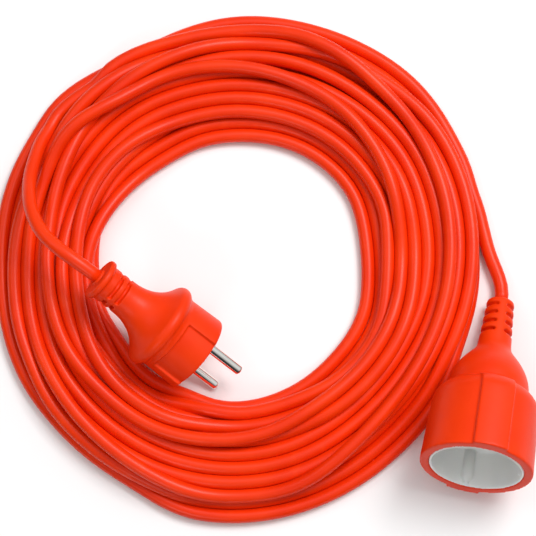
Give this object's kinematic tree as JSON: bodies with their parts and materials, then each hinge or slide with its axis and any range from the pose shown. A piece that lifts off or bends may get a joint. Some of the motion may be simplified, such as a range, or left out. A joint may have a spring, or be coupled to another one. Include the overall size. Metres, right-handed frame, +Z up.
{
  "type": "extension cord",
  "caption": "Round two-core extension cord in a loose coil, with a moulded two-pin plug and a moulded coupling socket that has a sprung shutter behind its pin holes.",
  "frame": {"origin": "on the floor, under the middle of the socket's box (the cord and the plug on it are left out)", "axes": "+Z up, +Y roughly from the socket's mouth towards its neck, +X to the right as seen from the mouth's side"},
  "size_m": [0.2471, 0.22, 0.0607],
  "materials": {
    "orange_pvc": "moulded satin",
    "orange_cord": "extruded satin",
    "white_plastic": "satin",
    "grey_plastic": "matt",
    "nickel": "polished nickel plate",
    "brass": "satin",
    "spring_steel": "bright",
    "tinned_copper": "tinned",
    "blue_core": "satin",
    "brown_core": "satin"
  },
  "bodies": {
    "root": {"plug_shell": "orange_pvc", "plug_pin_bridge": "grey_plastic", "plug_pin_left": "nickel", "plug_pin_right": "nickel", "plug_crimp_left": "tinned_copper", "plug_crimp_right": "tinned_copper", "plug_core_blue": "blue_core", "plug_core_brown": "brown_core", "plug_sheath_end": "orange_cord", "cord_plug_tail": "orange_cord", "cord_coil": "orange_cord", "cord_socket_tail": "orange_cord", "socket_sheath_end": "orange_cord", "socket_shell": "orange_pvc", "socket_cup": "white_plastic", "socket_carrier": "grey_plastic", "contact_left": "brass", "contact_right": "brass", "contact_clip_left": "spring_steel", "contact_clip_right": "spring_steel", "shutter_spring": "spring_steel", "shutter_retainer": "spring_steel", "socket_core_blue": "blue_core", "socket_core_brown": "brown_core", "socket_crimp_left": "tinned_copper", "socket_crimp_right": "tinned_copper"},
    "shutter": {"shutter_disc": "white_plastic"}
  },
  "joints": [
    {"name": "shutter_turn", "type": "hinge", "parent": "root", "child": "shutter", "pos_m": [0.00199, -0.01396, 0.02702], "axis": [-0.1878, -0.9232, 0.3352], "range_deg": [0, 40], "stiffness_Nm_per_rad": 0.02, "springref_deg": -17.19, "deforming": ["shutter_spring"]}
  ]
}
